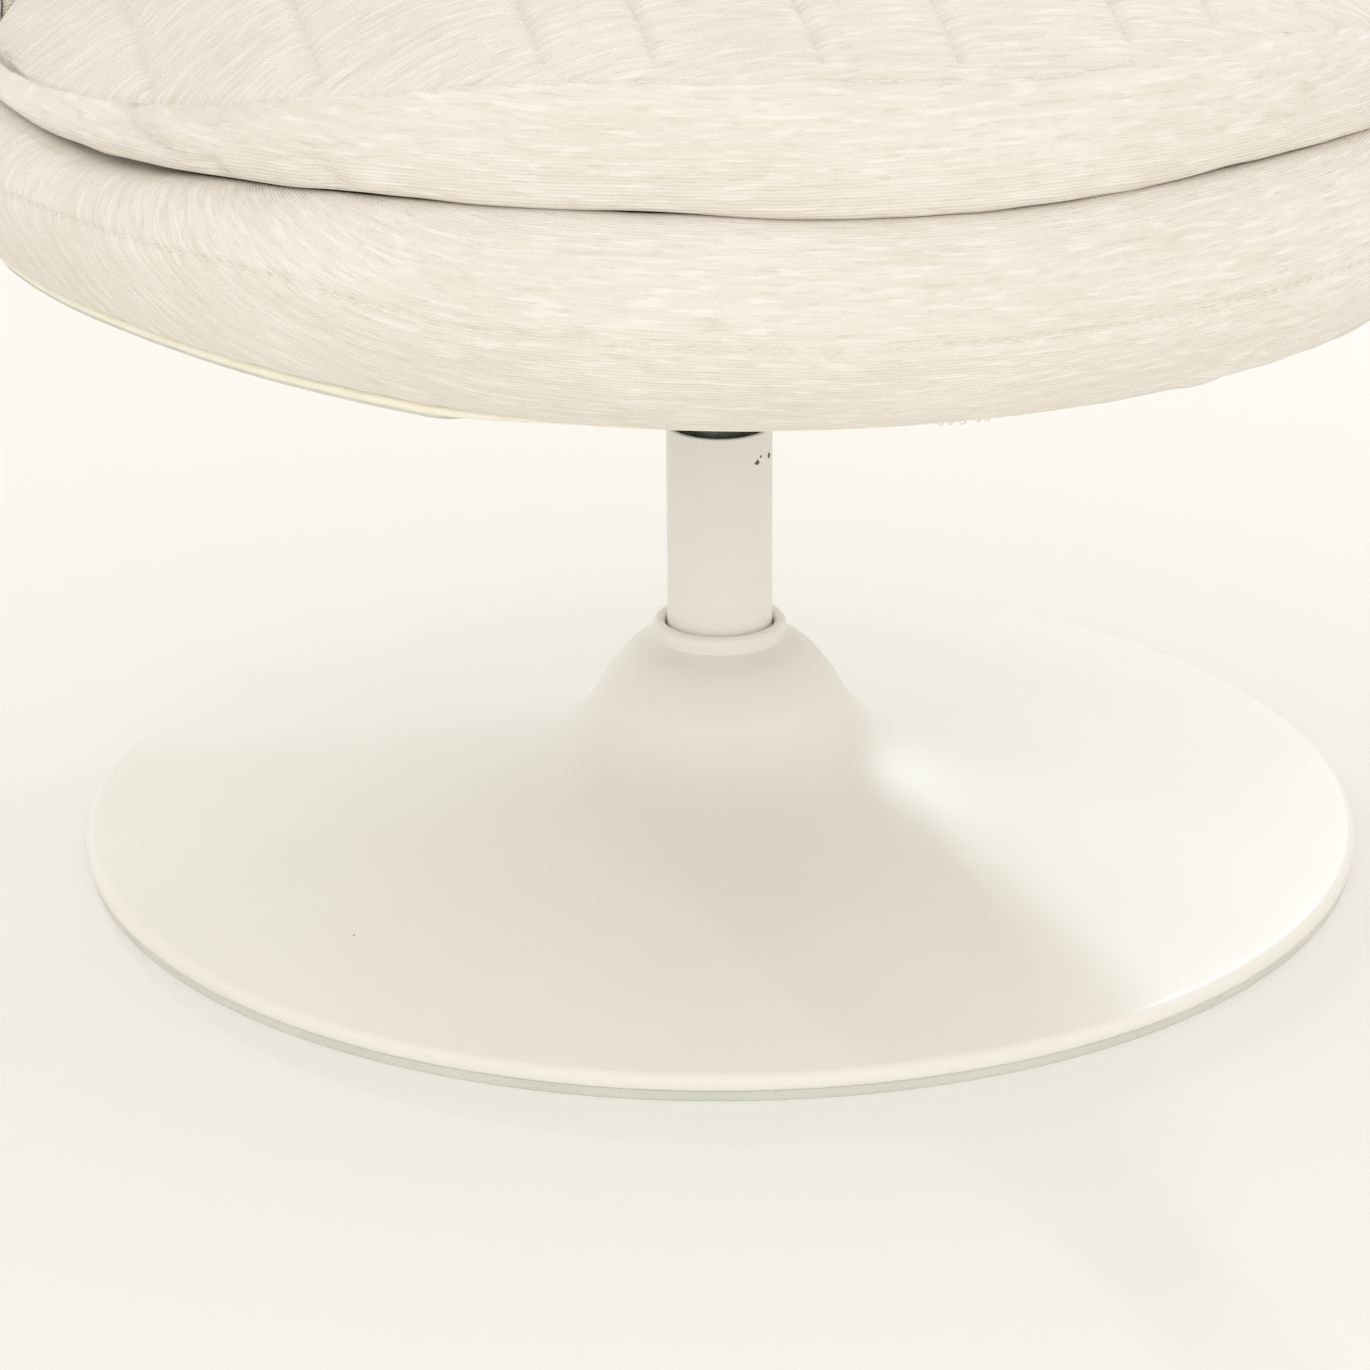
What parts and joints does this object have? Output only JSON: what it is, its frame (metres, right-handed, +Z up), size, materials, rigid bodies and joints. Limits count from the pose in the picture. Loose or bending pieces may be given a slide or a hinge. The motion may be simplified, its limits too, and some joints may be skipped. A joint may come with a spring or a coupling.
{
  "type": "swivel armchair",
  "caption": "Round padded tub armchair with a loose channelled seat cushion, turning on a column in a spun trumpet base with a plastic glide ring.",
  "frame": {"origin": "on the floor under the swivel axis", "axes": "+Z up along the swivel axis; the chair's front faces -Y and its right arm, seen from the front, is at +X"},
  "size_m": [0.74, 0.74, 0.764],
  "materials": {
    "powder_coat": "satin off-white powder coat",
    "glide_plastic": "slightly translucent soft plastic",
    "steel": "zinc plated",
    "cast_iron": "rough",
    "nylon": "black moulded",
    "bronze": "oiled",
    "plywood": "raw",
    "webbing": "woven elastic",
    "felt": "needled",
    "chenille": "cream slubbed chenille",
    "underside_cloth": "non-woven",
    "welt": "smooth cream piping",
    "foam": "cut foam",
    "zip": "cream tape and coil"
  },
  "bodies": {
    "base": {"base_trumpet": "powder_coat", "glide_ring": "glide_plastic", "base_plate": "steel", "ballast_ring": "cast_iron", "column_tube": "powder_coat", "column_flange": "steel", "base_bolt_1": "steel", "base_bolt_2": "steel", "base_bolt_3": "steel", "base_bolt_4": "steel", "base_nut_1": "steel", "base_nut_2": "steel", "base_nut_3": "steel", "base_nut_4": "steel", "thrust_seat": "steel", "thrust_washer": "bronze", "lower_bush": "nylon", "upper_bush": "nylon"},
    "seat": {"spindle": "steel", "retaining_ring": "steel", "spindle_hub": "steel", "hub_pin": "steel", "swivel_plate": "steel", "seat_bolt_1": "steel", "seat_bolt_2": "steel", "seat_bolt_3": "steel", "seat_bolt_4": "steel", "tee_nut_1": "steel", "tee_nut_2": "steel", "tee_nut_3": "steel", "tee_nut_4": "steel", "seat_board": "plywood", "frame_rib_1": "plywood", "frame_rib_2": "plywood", "frame_rib_3": "plywood", "frame_rib_4": "plywood", "frame_rib_5": "plywood", "frame_rib_6": "plywood", "skirt_hoop": "plywood", "seat_ring": "plywood", "back_frame": "plywood", "strap_lengthwise_1": "webbing", "strap_lengthwise_2": "webbing", "strap_lengthwise_3": "webbing", "strap_crosswise_1": "webbing", "strap_crosswise_2": "webbing", "strap_crosswise_3": "webbing", "deck_pad": "felt", "shell_cover": "chenille", "inner_pad": "chenille", "underside_cloth": "underside_cloth", "bottom_welt": "welt", "seat_cushion": "chenille", "cushion_core": "foam", "cushion_zip": "zip"}
  },
  "joints": [
    {"name": "swivel", "type": "hinge", "parent": "base", "child": "seat", "pos_m": [0, 0, 0.1], "axis": [0, 0, 1], "continuous": true}
  ]
}
